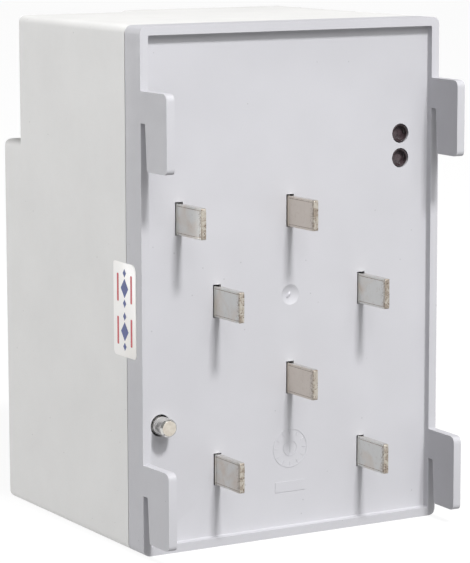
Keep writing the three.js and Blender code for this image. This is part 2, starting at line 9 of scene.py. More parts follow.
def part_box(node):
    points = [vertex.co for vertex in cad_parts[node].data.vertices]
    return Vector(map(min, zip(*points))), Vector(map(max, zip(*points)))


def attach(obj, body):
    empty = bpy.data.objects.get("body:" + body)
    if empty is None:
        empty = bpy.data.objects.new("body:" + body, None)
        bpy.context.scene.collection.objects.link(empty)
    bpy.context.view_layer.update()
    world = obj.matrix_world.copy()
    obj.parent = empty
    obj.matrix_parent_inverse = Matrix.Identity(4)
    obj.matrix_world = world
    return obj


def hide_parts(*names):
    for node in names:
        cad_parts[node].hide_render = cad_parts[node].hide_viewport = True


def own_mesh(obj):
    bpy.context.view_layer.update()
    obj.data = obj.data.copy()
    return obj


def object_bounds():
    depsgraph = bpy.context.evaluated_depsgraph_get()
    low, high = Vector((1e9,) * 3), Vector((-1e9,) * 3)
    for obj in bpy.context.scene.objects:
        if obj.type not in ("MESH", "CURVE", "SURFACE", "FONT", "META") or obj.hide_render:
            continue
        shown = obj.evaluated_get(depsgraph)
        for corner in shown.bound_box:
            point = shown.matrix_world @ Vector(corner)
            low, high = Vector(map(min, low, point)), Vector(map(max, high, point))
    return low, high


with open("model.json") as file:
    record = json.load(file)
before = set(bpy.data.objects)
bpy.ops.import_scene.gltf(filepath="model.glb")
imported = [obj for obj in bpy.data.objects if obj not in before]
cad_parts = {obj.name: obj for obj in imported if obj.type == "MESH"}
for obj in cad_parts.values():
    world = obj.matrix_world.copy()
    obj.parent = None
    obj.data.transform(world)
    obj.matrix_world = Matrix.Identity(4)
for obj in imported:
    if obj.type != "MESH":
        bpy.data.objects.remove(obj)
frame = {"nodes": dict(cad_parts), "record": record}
cad_low, cad_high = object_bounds()

# Looks of a plug-in electricity meter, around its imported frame. Metres, +Z up, blades towards +Y.

MM = 0.001
AXIS_RADIUS = 0.02 * MM       # where a turned form meets its axis
MERGE_DISTANCE = 0.0001 * MM  # points this near are one point
SHARP_ANGLE = math.radians(32)
NOISE_SEED = 7                # unseeded, the torn edges would differ from run to run
noise.seed_set(NOISE_SEED)
NODES = frame["nodes"]
SLOT_OF = {part["node"]: part["material_slot"] for part in frame["record"]["subparts"]}


# ---- Places taken from the frame ----------------------------------------------------------------


def middle(node):
    low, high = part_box(node)
    return (low + high) / 2


HOOK_REACH = 12.6 * MM
RIM_HEIGHT = 2 * MM
RIM_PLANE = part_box("rear_base")[1].y - HOOK_REACH
FLOOR_PLANE = RIM_PLANE - RIM_HEIGHT
FRONT_PLANE = cad_low.y


# ---- Mesh building ------------------------------------------------------------------------------


def piece_from(name, vertices, faces, material, slot, body="housing", stands_for=()):
    """Makes one piece from points and faces, shaded smooth between its sharp edges."""
    mesh = bpy.data.meshes.new(name)
    mesh.from_pydata([tuple(v) for v in vertices], [], faces)
    shell = bmesh.new()
    shell.from_mesh(mesh)
    bmesh.ops.remove_doubles(shell, verts=shell.verts, dist=MERGE_DISTANCE)
    bmesh.ops.recalc_face_normals(shell, faces=shell.faces)
    shell.to_mesh(mesh)
    shell.free()
    mesh.polygons.foreach_set("use_smooth", [True] * len(mesh.polygons))
    mesh.set_sharp_from_angle(angle=SHARP_ANGLE)
    piece = bpy.data.objects.new(name, mesh)
    bpy.context.scene.collection.objects.link(piece)
    mesh.materials.append(material)
    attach(piece, body)
    if stands_for:
        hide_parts(*stands_for)
    return piece


def lathe(profile, x, z, steps=96):
    """Points and faces of a turned form about an axis along Y. The profile is [radius, y]."""
    vertices, faces = [], []
    for radius, y in profile:
        for i in range(steps):
            angle = 2 * math.pi * i / steps
            vertices.append((x + radius * math.cos(angle), y, z + radius * math.sin(angle)))
    for ring in range(len(profile) - 1):
        for i in range(steps):
            j = (i + 1) % steps
            near, far = ring * steps, (ring + 1) * steps
            faces.append((near + i, near + j, far + j, far + i))
    if profile[0] == profile[-1]:
        return vertices, faces
    faces.append(tuple(range(steps)))
    faces.append(tuple(range(len(vertices) - steps, len(vertices))))
    return vertices, faces


def rounded_rectangle(a0, b0, a1, b1, radii, steps=8):
    """Corner arcs of a rectangle, anticlockwise from its lower right corner."""
    points = []
    corners = ((a1, b0, -90), (a1, b1, 0), (a0, b1, 90), (a0, b0, 180))
    for (a, b, start), radius in zip(corners, radii):
        centre_a = a - radius if a == a1 else a + radius
        centre_b = b - radius if b == b1 else b + radius
        for i in range(steps + 1):
            angle = math.radians(start + 90 * i / steps)
            points.append((centre_a + radius * math.cos(angle), centre_b + radius * math.sin(angle)))
    return points


def stack(outline_at, layers, place):
    """Lofts closed outlines. layers is [inset, height], and place turns (a, b, height) into a point."""
    vertices, faces = [], []
    for inset, height in layers:
        outline = outline_at(inset)
        vertices += [place(a, b, height) for a, b in outline]
    count = len(outline)
    for layer in range(len(layers) - 1):
        for i in range(count):
            j = (i + 1) % count
            near, far = layer * count, (layer + 1) * count
            faces.append((near + i, near + j, far + j, far + i))
    faces.append(tuple(range(count)))
    faces.append(tuple(range(len(vertices) - count, len(vertices))))
    return vertices, faces


def merged(*forms):
    """Several point and face lists as one."""
    vertices, faces = [], []
    for points, polygons in forms:
        start = len(vertices)
        vertices += list(points)
        faces += [tuple(start + i for i in polygon) for polygon in polygons]
    return vertices, faces


def along_x(a, b, height):
    return (height, a, b)


def along_y(a, b, height):
    return (a, height, b)


def panel(a0, b0, a1, b1, near, far, place, radius, edge=0.0):
    """A flat plate with rounded corners and, with edge, a softened far side.

    radius is one number, or one for each corner from the lower right, anticlockwise.
    """
    radii = radius if isinstance(radius, tuple) else (radius,) * 4

    def outline_at(inset):
        corners = [max(r - inset, AXIS_RADIUS) for r in radii]
        return rounded_rectangle(a0 + inset, b0 + inset, a1 - inset, b1 - inset, corners)

    way = math.copysign(1, far - near)
    layers = [(0, near), (0, far)]
    if edge:
        layers = [(0, near), (0, far - way * edge), (0.3 * edge, far - way * 0.3 * edge), (edge, far)]
    return stack(outline_at, layers, place)


def soften(node, width, segments=3):
    """Rounds a CAD node's edges with modifiers. Its own mesh keeps its shape."""
    weld_distance, flat_angle, edge_angle = 0.001 * MM, math.radians(0.6), math.radians(33)
    obj = NODES[node]
    for name in ("custom_normal", "sharp_face"):
        if name in obj.data.attributes:
            obj.data.attributes.remove(obj.data.attributes[name])
    obj.data.polygons.foreach_set("use_smooth", [True] * len(obj.data.polygons))
    weld = obj.modifiers.new("weld", "WELD")
    weld.merge_threshold = weld_distance
    flat = obj.modifiers.new("flat_faces", "DECIMATE")
    flat.decimate_type = "DISSOLVE"
    flat.angle_limit = flat_angle
    bevel = obj.modifiers.new("moulded_edges", "BEVEL")
    bevel.width = width
    bevel.segments = segments
    bevel.limit_method = "ANGLE"
    bevel.angle_limit = edge_angle
    bevel.harden_normals = True
    bevel.use_clamp_overlap = True
    return obj


# ---- Materials ----------------------------------------------------------------------------------


class Look:
    """One procedural material. Texture places are metres in the row frame."""

    def __init__(self, name, colour, roughness, metallic=0.0):
        self.material = bpy.data.materials.new(name)
        self.material.use_nodes = True
        self.tree = self.material.node_tree
        self.shader = self.tree.nodes["Principled BSDF"]
        self.shader.inputs["Base Color"].default_value = (*colour, 1)
        self.shader.inputs["Roughness"].default_value = roughness
        self.shader.inputs["Metallic"].default_value = metallic
        self.place = self.node("ShaderNodeTexCoord").outputs["Object"]
        self.normal = None

    def node(self, kind, **settings):
        made = self.tree.nodes.new(kind)
        for key, value in settings.items():
            setattr(made, key, value)
        return made

    def feed(self, value, socket):
        if isinstance(value, bpy.types.NodeSocket):
            self.tree.links.new(value, socket)
        else:
            socket.default_value = value

    def stretched(self, scale, offset=(0, 0, 0)):
        mapping = self.node("ShaderNodeMapping")
        self.feed(self.place, mapping.inputs["Vector"])
        mapping.inputs["Scale"].default_value = scale
        mapping.inputs["Location"].default_value = offset
        return mapping.outputs["Vector"]

    def along(self, axis):
        """The place along one axis, in metres, on either side of the middle for X."""
        split = self.node("ShaderNodeSeparateXYZ")
        self.feed(self.place, split.inputs["Vector"])
        return self.maths(split.outputs[axis], 0.0, "ABSOLUTE") if axis == "X" else split.outputs[axis]

    def noise(self, size, detail=3.0, stretch=None, distortion=0.0):
        """Noise whose features are about size metres across, optionally stretched along the axes."""
        texture = self.node("ShaderNodeTexNoise")
        self.feed(self.stretched(stretch) if stretch else self.place, texture.inputs["Vector"])
        texture.inputs["Scale"].default_value = 1 / size
        texture.inputs["Detail"].default_value = detail
        texture.inputs["Distortion"].default_value = distortion
        return texture.outputs["Fac"]

    def cells(self, size, feature="F1"):
        """Distances within cells that are about size metres across."""
        texture = self.node("ShaderNodeTexVoronoi", feature=feature)
        self.feed(self.place, texture.inputs["Vector"])
        texture.inputs["Scale"].default_value = 1 / size
        return texture.outputs["Distance"]

    def span(self, value, low, high, to_low=0.0, to_high=1.0):
        """A value between low and high, laid out between to_low and to_high and held within them."""
        remap = self.node("ShaderNodeMapRange")
        self.feed(value, remap.inputs["Value"])
        remap.inputs["From Min"].default_value = low
        remap.inputs["From Max"].default_value = high
        remap.inputs["To Min"].default_value = to_low
        remap.inputs["To Max"].default_value = to_high
        return remap.outputs["Result"]

    def maths(self, first, second, operation="MULTIPLY"):
        made = self.node("ShaderNodeMath", operation=operation)
        self.feed(first, made.inputs[0])
        self.feed(second, made.inputs[1])
        return made.outputs[0]

    def blend(self, share, first, second):
        """Colour that goes from first to second as share goes from 0 to 1."""
        mix = self.node("ShaderNodeMix", data_type="RGBA")
        self.feed(share, mix.inputs["Factor"])
        for value, name in ((first, "A"), (second, "B")):
            socket = next(s for s in mix.inputs if s.name == name and s.type == "RGBA")
            self.feed(value if isinstance(value, bpy.types.NodeSocket) else (*value, 1), socket)
        return next(s for s in mix.outputs if s.type == "RGBA")

    def colour(self, value):
        self.feed(value, self.shader.inputs["Base Color"])

    def roughness(self, texture, low, high):
        """Roughness from low to high over a noise texture's usual range."""
        self.feed(self.span(texture, 0.3, 0.7, low, high), self.shader.inputs["Roughness"])

    def bump(self, height, distance, strength):
        """Adds relief distance metres deep. A later call adds to the earlier ones."""
        made = self.node("ShaderNodeBump")
        made.inputs["Strength"].default_value = strength
        made.inputs["Distance"].default_value = distance
        self.feed(height, made.inputs["Height"])
        if self.normal:
            self.feed(self.normal, made.inputs["Normal"])
        self.normal = made.outputs["Normal"]
        self.feed(self.normal, self.shader.inputs["Normal"])


WAVES_TO_SCALE = 0.32  # a wave texture's scale times its wavelength


def darker(colour, share):
    return tuple(c * share for c in colour)


def moulded_plastic(name, colour, roughness=0.52, specks=True):
    """Matt moulded plastic: spark texture, slow flow waves, faint cloudiness, handling marks and specks."""
    look = Look(name, colour, roughness)
    cloud = look.span(look.noise(22 * MM, 4), 0.3, 0.7)
    tint = look.blend(cloud, darker(colour, 0.965), darker(colour, 1.02))
    grain = look.noise(0.32 * MM, 2)
    tint = look.blend(look.span(grain, 0.45, 0.75, 0, 0.08), tint, darker(colour, 0.72))
    if specks:
        speck = look.span(look.cells(5.2 * MM), 0.030, 0.045, 0.42, 0)
        tint = look.blend(speck, tint, darker(colour, 0.45))
    look.colour(tint)
    look.roughness(look.noise(3.5 * MM, 5), roughness - 0.07, roughness + 0.09)
    look.bump(look.noise(14 * MM, 2), 0.05 * MM, 0.35)
    look.bump(grain, 0.03 * MM, 0.45)
    return look.material


def contact_plating():
    """Dull plating: rolling lines, stained tips, and beige tarnish, most of it on the middle blades."""
    look = Look("contact_plating", (0.71, 0.71, 0.685), 0.34, 1.0)
    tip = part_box("contact_blade_neutral")[1].y
    cloudy = look.span(look.noise(7 * MM, 4, distortion=0.6), 0.46, 0.7, 0, 0.8)
    tarnish = look.maths(cloudy, look.span(look.along("X"), 3 * MM, 9 * MM, 0.8, 0.0), "MAXIMUM")
    tint = look.blend(tarnish, (0.725, 0.730, 0.705), (0.675, 0.605, 0.530))
    fine = look.noise(0.9 * MM, 5)
    tint = look.blend(look.span(fine, 0.58, 0.8, 0, 0.35), tint, (0.42, 0.34, 0.27))
    near_tip = look.span(look.along("Y"), tip - 1.9 * MM, tip - 0.5 * MM)
    spots = look.span(look.noise(0.75 * MM, 4, distortion=1.6), 0.50, 0.60, 0, 0.75)
    look.colour(look.blend(look.maths(near_tip, spots), tint, (0.19, 0.15, 0.12)))
    lines = look.noise(0.30 * MM, 3, stretch=(1.0, 0.05, 1.0))
    look.roughness(look.noise(1.6 * MM, 4), 0.34, 0.5)
    look.bump(lines, 0.02 * MM, 0.3)
    look.bump(fine, 0.03 * MM, 0.25)
    return look.material


def blade_edge():
    """The rolled edge of the strip: smoother and brighter than its faces."""
    look = Look("blade_edge", (0.72, 0.71, 0.68), 0.16, 1.0)
    dull = look.span(look.noise(1.4 * MM, 4), 0.4, 0.7)
    look.colour(look.blend(dull, (0.76, 0.75, 0.72), (0.58, 0.54, 0.48)))
    look.roughness(look.noise(1.1 * MM, 3), 0.1, 0.26)
    look.bump(look.noise(0.35 * MM, 3, stretch=(1, 0.08, 1)), 0.01 * MM, 0.3)
    return look.material


def pressed_line_grime_and_shade():
    """The shallow line pressed round a blade's face, coloured dark brown: grime in it and painted shade of
    the groove.
    """
    look = Look("pressed_line_grime_and_shade", (0.40, 0.34, 0.29), 0.5, 1.0)
    grime_and_shade_mottle = look.span(look.noise(0.8 * MM, 4), 0.35, 0.65)
    look.colour(look.blend(grime_and_shade_mottle, (0.52, 0.47, 0.42), (0.30, 0.23, 0.18)))
    look.roughness(look.noise(0.6 * MM, 3), 0.42, 0.62)
    look.bump(look.noise(0.3 * MM, 3), 0.02 * MM, 0.4)
    return look.material


def sheared_metal():
    """The torn end of a sheared strip: cream plating with brown specks of copper alloy."""
    look = Look("sheared_metal", (0.45, 0.40, 0.34), 0.5, 0.45)
    patches = look.span(look.noise(1.5 * MM, 3, distortion=0.8), 0.4, 0.62)
    tint = look.blend(patches, (0.475, 0.44, 0.385), (0.29, 0.245, 0.20))
    specks = look.span(look.noise(0.6 * MM, 4, distortion=1.0), 0.56, 0.64)
    look.colour(look.blend(specks, tint, (0.15, 0.11, 0.085)))
    look.roughness(look.noise(0.5 * MM, 4), 0.4, 0.62)
    look.bump(look.noise(0.6 * MM, 4, distortion=0.8), 0.09 * MM, 0.6)
    return look.material


def turned_metal(name, colour, roughness, axis_node, pitch=0.35 * MM):
    """Metal turned on a lathe about the Y axis through a node: rings, smears and small nicks."""
    look = Look(name, colour, roughness, 1.0)
    centre = middle(axis_node)
    rings = look.node("ShaderNodeTexWave", wave_type="RINGS", rings_direction="Y")
    look.feed(look.stretched((1, 1, 1), (-centre.x, -centre.y, -centre.z)), rings.inputs["Vector"])
    rings.inputs["Scale"].default_value = WAVES_TO_SCALE / pitch
    rings.inputs["Distortion"].default_value = 0.6
    smear = look.span(look.noise(2.2 * MM, 3), 0.35, 0.75)
    look.colour(look.blend(smear, colour, darker(colour, 0.82)))
    look.roughness(look.noise(1.6 * MM, 3), roughness - 0.05, roughness + 0.1)
    look.bump(rings.outputs["Fac"], 0.008 * MM, 0.3)
    look.bump(look.noise(0.5 * MM, 2), 0.006 * MM, 0.2)
    return look.material


def matt_tip():
    """The flat end of the pin: matt cream oxide, slightly mottled, with fine nicks."""
    look = Look("pin_tip_face", (0.56, 0.515, 0.45), 0.5, 0.3)
    mottle = look.span(look.noise(1.2 * MM, 4), 0.35, 0.68)
    look.colour(look.blend(mottle, (0.585, 0.545, 0.48), (0.50, 0.45, 0.385)))
    look.roughness(look.noise(0.6 * MM, 4), 0.42, 0.6)
    look.bump(look.noise(0.35 * MM, 4), 0.03 * MM, 0.4)
    return look.material


def rolled_metal(name, colour, roughness):
    """Plain sheet or bar: upright rolling lines, with dull patches."""
    look = Look(name, colour, roughness, 1.0)
    patches = look.span(look.noise(6 * MM, 4), 0.35, 0.7)
    look.colour(look.blend(patches, colour, darker(colour, 0.72)))
    look.roughness(look.noise(1.2 * MM, 4), roughness - 0.05, roughness + 0.14)
    look.bump(look.noise(0.25 * MM, 3, stretch=(1, 1, 0.06)), 0.015 * MM, 0.5)
    return look.material


def infrared_window():
    """Polished wine-dark plastic that passes infrared, with moulding flow and dust."""
    look = Look("infrared_window", (0.045, 0.012, 0.018), 0.12)
    flow = look.span(look.noise(1.6 * MM, 3), 0.35, 0.7)
    tint = look.blend(flow, (0.026, 0.016, 0.019), (0.060, 0.040, 0.045))
    dust = look.span(look.noise(0.22 * MM, 4), 0.64, 0.8, 0, 0.2)
    look.colour(look.blend(dust, tint, (0.20, 0.16, 0.16)))
    look.roughness(look.noise(0.8 * MM, 3), 0.22, 0.36)
    look.shader.inputs["Coat Weight"].default_value = 0.25
    look.shader.inputs["Coat Roughness"].default_value = 0.2
    look.bump(look.noise(1.2 * MM, 2), 0.03 * MM, 0.4)
    return look.material


def clear_window():
    """Clear moulded window with faint haze, hairline scratches and dust."""
    look = Look("clear_window", (0.96, 0.975, 0.98), 0.05)
    haze = look.span(look.noise(0.35 * MM, 3, stretch=(0.12, 1, 1)), 0.6, 0.8, 0, 0.3)
    look.colour(look.blend(haze, (0.96, 0.975, 0.98), (0.80, 0.83, 0.84)))
    look.roughness(look.noise(7 * MM, 4), 0.03, 0.10)
    look.shader.inputs["Transmission Weight"].default_value = 1.0
    look.shader.inputs["IOR"].default_value = 1.2
    look.bump(look.noise(9 * MM, 2), 0.02 * MM, 0.2)
    return look.material


def display_glass():
    """A switched-off reflective liquid crystal: grey-green, with the fine grain of its foil."""
    look = Look("display_glass", (0.42, 0.47, 0.39), 0.18)
    foil = look.noise(0.18 * MM, 2)
    tint = look.blend(look.span(foil, 0.35, 0.7), (0.40, 0.45, 0.37), (0.47, 0.52, 0.44))
    glow = look.span(look.noise(18 * MM, 2), 0.3, 0.7, 0, 0.35)
    look.colour(look.blend(glow, tint, (0.52, 0.56, 0.47)))
    look.roughness(look.noise(4 * MM, 2), 0.12, 0.24)
    look.shader.inputs["Coat Weight"].default_value = 0.8
    look.bump(foil, 0.004 * MM, 0.2)
    return look.material


def printed_film(name, colour):
    """Satin label stock: paper-like tooth and slight yellowing."""
    look = Look(name, colour, 0.42)
    age = look.span(look.noise(11 * MM, 4), 0.35, 0.7)
    tint = look.blend(age, colour, (colour[0], colour[1] * 0.985, colour[2] * 0.95))
    tooth = look.noise(0.22 * MM, 3)
    look.colour(look.blend(look.span(tooth, 0.5, 0.75, 0, 0.08), tint, darker(colour, 0.7)))
    look.roughness(look.noise(2.5 * MM, 4), 0.34, 0.5)
    look.bump(look.noise(5 * MM, 2), 0.03 * MM, 0.3)
    look.bump(tooth, 0.01 * MM, 0.4)
    return look.material


def ink(name, colour):
    """Printed ink: small misses where the tooth of the film shows through."""
    look = Look(name, colour, 0.38)
    misses = look.span(look.noise(0.28 * MM, 4), 0.66, 0.8, 0, 0.5)
    look.colour(look.blend(misses, colour, tuple(0.5 + 0.5 * c for c in colour)))
    look.roughness(look.noise(1.4 * MM, 3), 0.3, 0.46)
    look.bump(look.noise(0.2 * MM, 2), 0.006 * MM, 0.4)
    return look.material


def circuit_board():
    """Solder mask over copper tracks and glass weave."""
    look = Look("circuit_board", (0.02, 0.14, 0.07), 0.35)
    tracks = look.span(look.cells(4.2 * MM, feature="DISTANCE_TO_EDGE"), 0.05, 0.09)
    tint = look.blend(tracks, (0.05, 0.26, 0.12), (0.015, 0.12, 0.06))
    look.colour(look.blend(look.span(look.noise(9 * MM, 3), 0.3, 0.7, 0, 0.4), tint, (0.01, 0.08, 0.05)))
    look.roughness(look.noise(2 * MM, 3), 0.28, 0.44)
    look.bump(tracks, 0.03 * MM, 0.6)
    look.bump(look.noise(0.5 * MM, 2, stretch=(1, 1, 0.3)), 0.01 * MM, 0.4)
    return look.material


def dipped_coating(name, colour, roughness):
    """Glossy lacquer or epoxy with slow runs and pinholes."""
    look = Look(name, colour, roughness)
    look.colour(look.blend(look.span(look.noise(3 * MM, 3), 0.3, 0.7), darker(colour, 0.8), colour))
    look.roughness(look.noise(1.5 * MM, 3), roughness - 0.08, roughness + 0.1)
    look.shader.inputs["Coat Weight"].default_value = 0.3
    look.bump(look.noise(2.5 * MM, 3), 0.06 * MM, 0.4)
    look.bump(look.cells(1.1 * MM), 0.01 * MM, 0.3)
    return look.material


def striped_rubber():
    """Contact rubber: thin dark and light layers across its length."""
    layer_pair = 0.5 * MM
    look = Look("striped_rubber", (0.1, 0.1, 0.1), 0.75)
    layers = look.node("ShaderNodeTexWave", wave_type="BANDS", bands_direction="X")
    look.feed(look.place, layers.inputs["Vector"])
    layers.inputs["Scale"].default_value = WAVES_TO_SCALE / layer_pair
    look.colour(look.blend(layers.outputs["Fac"], (0.03, 0.03, 0.03), (0.30, 0.26, 0.24)))
    look.roughness(look.noise(1 * MM, 3), 0.66, 0.86)
    look.bump(look.noise(0.3 * MM, 3), 0.03 * MM, 0.5)
    return look.material


BASE_GREY = (0.500, 0.498, 0.524)
COVER_GREY = (0.742, 0.738, 0.728)
base_plastic = moulded_plastic("base_plastic", BASE_GREY)
cover_plastic = moulded_plastic("cover_plastic", COVER_GREY)
plating = contact_plating()
edge_metal = blade_edge()
# dark brown line colour: grime and painted shade of the pressed groove
pressed = pressed_line_grime_and_shade()
sheared = sheared_metal()
pin_metal = turned_metal("pin_nickel", (0.72, 0.71, 0.68), 0.2, "locking_pin")
steel = rolled_metal("zinc_plated_steel", (0.55, 0.56, 0.57), 0.3)
window_ir = infrared_window()
window_clear = clear_window()
glass = display_glass()
film = printed_film("label_film", (0.955, 0.943, 0.938))
plate_film = printed_film("nameplate_film", (0.80, 0.805, 0.81))
ink_blue = ink("ink_blue", (0.035, 0.06, 0.24))
ink_red = ink("ink_red", (0.55, 0.035, 0.05))
ink_grey = ink("ink_grey", (0.16, 0.17, 0.18))
ink_ghost = ink("display_ghost", (0.30, 0.34, 0.28))

LOOKS = {
    "housing_grey": base_plastic,
    "inner_frame": moulded_plastic("inner_frame", (0.13, 0.135, 0.145), 0.55, specks=False),
    "black_plastic": moulded_plastic("black_plastic", (0.022, 0.022, 0.024), 0.42, specks=False),
    "ir_window": window_ir,
    "clear_window": window_clear,
    "lcd": glass,
    "label": plate_film,
    "button_blue": moulded_plastic("button_blue", (0.055, 0.16, 0.34), 0.4, specks=False),
    "circuit_board": circuit_board(),
    "capacitor_film": dipped_coating("capacitor_film", (0.46, 0.11, 0.03), 0.32),
    "varistor_coating": dipped_coating("varistor_coating", (0.03, 0.11, 0.32), 0.34),
    "contact_rubber": striped_rubber(),
    "lead_insulation": moulded_plastic("lead_insulation", (0.2, 0.21, 0.23), 0.5, specks=False),
    "contact_plating": plating,
    "pin_nickel": pin_metal,
    "copper": rolled_metal("bare_copper", (0.70, 0.34, 0.20), 0.3),
    "steel": steel,
}

for node, obj in NODES.items():
    obj.data.materials.clear()
    obj.data.materials.append(cover_plastic if node == "front_cover" else LOOKS[SLOT_OF[node]])

# ---- Housing ------------------------------------------------------------------------------------

BASE_EDGE, COVER_EDGE, INNER_EDGE, INNER_SEGMENTS = 0.12 * MM, 0.22 * MM, 0.12 * MM, 2

soften("rear_base", BASE_EDGE)
soften("front_cover", COVER_EDGE)

BUILT_ANEW = {
    "rear_base", "front_cover", "locking_pin", "tamper_seal_label", "nameplate", "optical_port_ring",
    "front_ir_lens", "rear_ir_lens_lower", "rear_ir_lens_upper", "display_button", "button_spring",
    "display_window",
}
for node in NODES:
    if node not in BUILT_ANEW and not node.startswith("contact_blade"):
        soften(node, INNER_EDGE, INNER_SEGMENTS)


def gate_mark():
    """The dished mark of the injection gate in the middle of the back, with a torn ridge left in it."""
    z = middle("contact_blade_l1_upper").z
    radius, deep, skin, below, rings = 2.68 * MM, 0.62 * MM, 0.02 * MM, 0.005 * MM, 12
    base = FLOOR_PLANE - deep - skin
    profile = [(AXIS_RADIUS, base), (radius, base)]
    for i in range(rings, -1, -1):
        share = i / rings
        surface = FLOOR_PLANE - deep * (1 - share ** 2) - below
        profile.append((max(radius * share, AXIS_RADIUS), surface))
    dish = lathe(profile, 0, z, 64)
    ridge_high, narrowing = 0.5 * MM, 0.42
    ridge_points, ridge_faces = lathe(
        [(1.1 * MM, 0), (0.95 * MM, 0.22 * MM), (0.62 * MM, 0.42 * MM), (0.2 * MM, ridge_high)], 0, 0, 32,
    )
    lean = Matrix.Rotation(math.radians(-38), 3, "Y")
    seat = Vector((0.25 * MM, base + skin, z - 0.15 * MM))
    tear_size, tear_depth = 0.45 * MM, 0.16 * MM
    torn = []
    for x, y, height in ridge_points:
        place = lean @ Vector((narrowing * x, y, height)) + seat
        wander = noise.noise_vector(place / tear_size)
        torn.append(place + wander * tear_depth * (y / ridge_high))
    piece_from("gate_mark", *merged(dish, (torn, ridge_faces)), base_plastic, "housing_grey")


def mould_mark():
    """A plain moulding dial in fine raised lines on the back, and a flat raised bar below it."""
    z, x = 23.2 * MM, 0.0
    large_ring, small_ring = (5.2 * MM, 5.0 * MM), (2.1 * MM, 1.92 * MM)
    tick_start, tick_end, pointer_reach = 3.7 * MM, 4.7 * MM, 1.2 * MM
    bar_reach, bar_low, bar_high = 4.6 * MM, 11.55 * MM, 14.3 * MM
    low, high = FLOOR_PLANE - 0.05 * MM, FLOOR_PLANE + 0.09 * MM
    half, corner, bar_corner = 0.1 * MM, 0.05 * MM, 0.1 * MM
    forms = []
    for outer, inner in (large_ring, small_ring):
        section = [(outer, low), (outer, high), (inner, high), (inner, low), (outer, low)]
        forms.append(lathe(section, x, z, 64))
    for hour in range(12):
        turn = Matrix.Rotation(math.radians(30 * hour), 3, "Y")
        points, faces = panel(-half, tick_start, half, tick_end, low, high, along_y, corner)
        forms.append(([turn @ Vector(p) + Vector((x, 0, z)) for p in points], faces))
    pointer = panel(x - half, z - pointer_reach, x + half, z + pointer_reach, low, high, along_y, corner)
    bar = panel(-bar_reach, bar_low, bar_reach, bar_high, low, high, along_y, bar_corner)
    piece_from("mould_mark", *merged(*forms, pointer, bar), base_plastic, "housing_grey")


gate_mark()
mould_mark()


# ---- Contact blades -----------------------------------------------------------------------------


def contact_blade(node):
    """A stamped blade: thick shank in the base, coined contact section, eased edges and a torn tip."""
    low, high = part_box(node)
    centre = (low + high) / 2
    half_stock = (high.x - low.x) / 2
    half_high = (high.z - low.z) / 2
    half_thick = half_stock - 0.1 * MM
    shoulder = FLOOR_PLANE + 0.3 * MM
    tip = high.y
    corner, border = 0.5 * MM, 0.6 * MM
    ease, slight, line_deep, line_half = 0.16 * MM, 0.02 * MM, 0.055 * MM, 0.08 * MM
    inner_levels = [half_high * k / 9 for k in range(-7, 8)]
    edge_levels = [
        (half_high, ease), (half_high - 0.09 * MM, 0.05 * MM), (half_high - border + line_half, slight),
        (half_high - border, line_deep), (half_high - border - line_half, 0.0),
    ]
    levels = [(-z, cut) for z, cut in edge_levels] + [(z, 0.0) for z in inner_levels]
    levels += list(reversed(edge_levels))
    step_back = shoulder - 0.06 * MM
    sections = [(low.y, half_stock, 0.0), (step_back, half_stock, 0.0), (shoulder, half_thick, 0.0)]
    for back, cut in ((border + line_half, 0.0), (border, line_deep), (border - line_half, slight)):
        sections.append((tip - back, half_thick - cut, 0.0))
    for i in range(7):
        angle = math.radians(15 * i)
        drop = corner * (1 - math.cos(angle))
        cut = ease * (1 - math.cos(angle)) + slight
        sections.append((tip - corner + corner * math.sin(angle), half_thick - cut, drop))
    vertices, faces = [], []
    for y, thick, drop in sections:
        scale = (half_high - drop) / half_high
        for side in (-1, 1):
            column = levels if side < 0 else reversed(levels)
            for z, cut in column:
                vertices.append(Vector((centre.x + side * (thick - cut), y, centre.z + z * scale)))
    count = 2 * len(levels)
    for ring in range(len(sections) - 1):
        for i in range(count):
            j = (i + 1) % count
            near, far = ring * count, (ring + 1) * count
            faces.append((near + i, near + j, far + j, far + i))
    last = (len(sections) - 1) * count
    spine = len(vertices)
    for k in range(len(levels)):
        left, right = vertices[last + k], vertices[last + count - 1 - k]
        vertices.append((left + right) / 2)
    for k in range(len(levels) - 1):
        faces.append((last + k, last + k + 1, spine + k + 1, spine + k))
        faces.append((spine + k, spine + k + 1, last + count - 2 - k, last + count - 1 - k))
    for k in (0, len(levels) - 1):
        faces.append((last + k, spine + k, last + count - 1 - k))
    faces.append(tuple(range(count)))
    torn_length, tear_size, tear_depth = 0.7 * MM, 0.8 * MM, 0.14 * MM
    for point in vertices:
        torn = min(max((point.y - (tip - torn_length)) / torn_length, 0), 1)
        if torn:
            wander = noise.noise_vector(point / tear_size)
            point += Vector((0.35 * wander.x, -0.8 * abs(wander.y), 0.5 * wander.z)) * tear_depth * torn
    piece = piece_from(node + "_plated", vertices, faces, plating, "contact_plating", stands_for=[node])
    for extra in (sheared, pressed, edge_metal):
        piece.data.materials.append(extra)
    line_z = half_high - border
    torn_end, line_reach, on_line = 0.3 * MM, 9 * MM, 0.07 * MM
    for face in piece.data.polygons:
        height, back = abs(face.center.z - centre.z), tip - face.center.y
        if back < torn_end:
            face.material_index = 1
        elif abs(face.normal.x) > 0.3 and height < line_z + on_line and back < line_reach:
            if abs(height - line_z) < on_line or abs(back - border) < on_line:
                # the pressed line's faces get a dark brown colour: grime and painted shade of the groove
                face.material_index = 2
        elif face.normal.z > 0.8:
            face.material_index = 3


for node in list(NODES):
    if node.startswith("contact_blade"):
        contact_blade(node)


# ---- Locking pin --------------------------------------------------------------------------------


